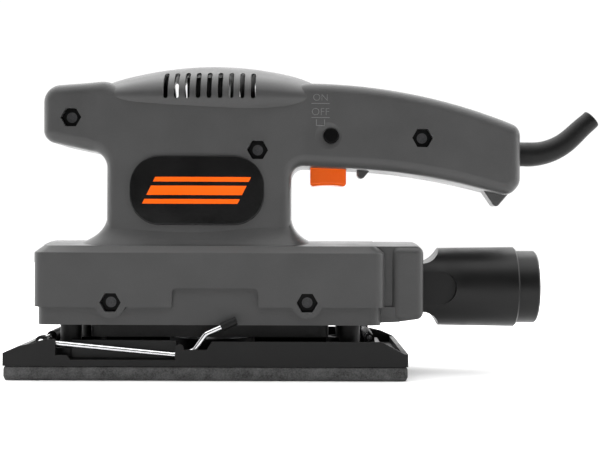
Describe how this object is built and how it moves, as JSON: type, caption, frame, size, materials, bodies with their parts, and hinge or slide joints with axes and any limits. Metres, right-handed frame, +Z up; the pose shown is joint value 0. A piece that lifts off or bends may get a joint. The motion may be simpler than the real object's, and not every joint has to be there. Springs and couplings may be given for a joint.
{
  "type": "orbital sander",
  "caption": "Grey one-third-sheet orbital sander with closed rear handle, orange trigger, black orbiting base with wire paper clamps, and a black dust adapter",
  "frame": {"origin": "centre of the sanding pad's bottom face", "axes": "+Z up, +X towards the rear handle's end, -Y the side with the lock button"},
  "size_m": [0.2849, 0.09, 0.1496],
  "materials": {
    "grey_housing": "fine matte texture",
    "black_badge": "gloss",
    "orange_trigger": "satin",
    "black_plastic": "satin",
    "carbon": "dull",
    "capacitor_case": "satin",
    "black_rubber": "matte",
    "wire_insulation": "satin",
    "foam": "fine closed-cell foam",
    "bright_wire": "bright",
    "steel": "plain",
    "laminated_iron": "plain",
    "cast_iron": "plain",
    "copper": "varnished",
    "brass": "plain"
  },
  "bodies": {
    "housing": {"left_housing": "grey_housing", "right_housing": "grey_housing", "housing_screws": "steel", "housing_nuts": "steel", "left_badge": "black_badge", "right_badge": "black_badge", "trigger_spring": "steel", "switch_body": "black_plastic", "capacitor": "capacitor_case", "lock_spring": "steel", "cord_sleeve": "black_rubber", "cord_clamp": "black_plastic", "cord_clamp_screws": "steel", "stator_core": "laminated_iron", "field_coils": "copper", "brush_holders": "brass", "carbon_brushes": "carbon", "brush_springs": "steel", "motor_wires": "wire_insulation", "lower_bearing_outer": "steel", "upper_bearing_outer": "steel", "support_posts": "black_rubber", "dust_skirt": "black_rubber"},
    "rotor": {"motor_shaft": "steel", "armature_core": "laminated_iron", "armature_winding": "copper", "commutator": "copper", "fan": "black_plastic", "eccentric": "cast_iron", "crank_screw": "steel", "lower_bearing_inner": "steel", "upper_bearing_inner": "steel", "crank_bearing_inner": "steel"},
    "platen": {"platen": "black_plastic", "foam_pad": "foam", "crank_bearing_outer": "steel", "bearing_cover": "steel", "cover_screws": "steel"},
    "front_clamp": {"front_clamp_wire": "bright_wire", "front_clamp_grip": "black_rubber", "front_clamp_jaw": "steel"},
    "rear_clamp": {"rear_clamp_wire": "bright_wire", "rear_clamp_grip": "black_rubber", "rear_clamp_jaw": "steel"},
    "trigger": {"trigger": "orange_trigger"},
    "lock_button": {"lock_button": "black_plastic"},
    "dust_adapter": {"dust_adapter": "black_plastic", "adapter_seal": "black_rubber"}
  },
  "joints": [
    {"name": "rotor_spin", "type": "hinge", "parent": "housing", "child": "rotor", "pos_m": [0.001, 0, 0.06], "axis": [0, 0, 1], "continuous": true},
    {"name": "platen_orbit", "type": "hinge", "parent": "rotor", "child": "platen", "pos_m": [0, 0, 0.0127], "axis": [0, 0, 1], "continuous": true},
    {"name": "front_lever", "type": "hinge", "parent": "platen", "child": "front_clamp", "pos_m": [-0.077, 0, 0.0176], "axis": [0, -1, 0], "range_deg": [0, 75]},
    {"name": "rear_lever", "type": "hinge", "parent": "platen", "child": "rear_clamp", "pos_m": [0.077, 0, 0.0176], "axis": [0, 1, 0], "range_deg": [0, 75]},
    {"name": "trigger_press", "type": "slide", "parent": "housing", "child": "trigger", "axis": [0, 0, 1], "range_m": [0, 0.004], "stiffness_N_per_m": 400, "springref_m": -0.005, "deforming": ["trigger_spring"]},
    {"name": "lock_press", "type": "slide", "parent": "housing", "child": "lock_button", "axis": [0, 1, 0], "range_m": [0, 0.003], "stiffness_N_per_m": 300, "springref_m": -0.004, "deforming": ["lock_spring"]},
    {"name": "adapter_pull", "type": "slide", "parent": "housing", "child": "dust_adapter", "axis": [1, 0, 0], "range_m": [0, 0.02]}
  ],
  "couplings": [
    {"joint": "platen_orbit", "follows": "rotor_spin", "ratio": -1}
  ]
}
